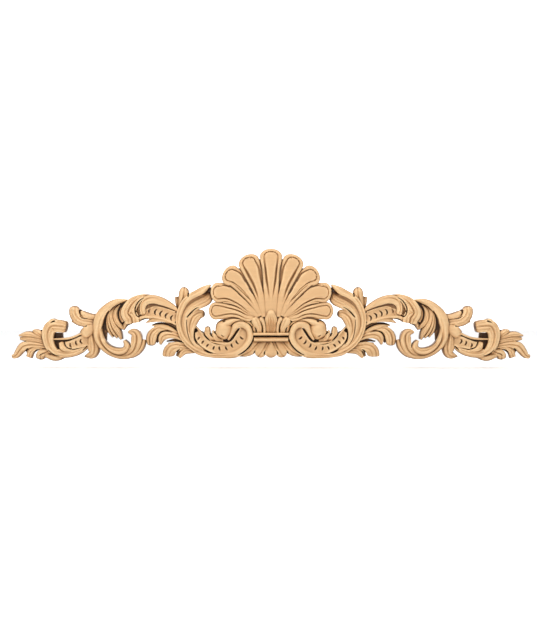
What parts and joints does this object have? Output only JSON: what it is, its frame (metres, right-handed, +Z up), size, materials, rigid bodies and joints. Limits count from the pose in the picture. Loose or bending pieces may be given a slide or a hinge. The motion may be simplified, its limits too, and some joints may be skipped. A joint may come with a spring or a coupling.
{
  "type": "carved headpiece",
  "caption": "Long carved wood headpiece with a central scallop shell, pierced C-scrolls and curling leaves, flat at the back for fixing.",
  "frame": {"origin": "on the flat back, on the mirror line, 70 mm above the lowest point", "axes": "+X along the length to the right, +Y out of the flat back, so the carving faces -Y, +Z up towards the shell's top"},
  "size_m": [0.91, 0.034, 0.196],
  "materials": {
    "pale_wood": "bare fine-grained pale wood, smooth from the gouge"
  },
  "bodies": {
    "root": {"carved_headpiece": "pale_wood"}
  },
  "joints": []
}
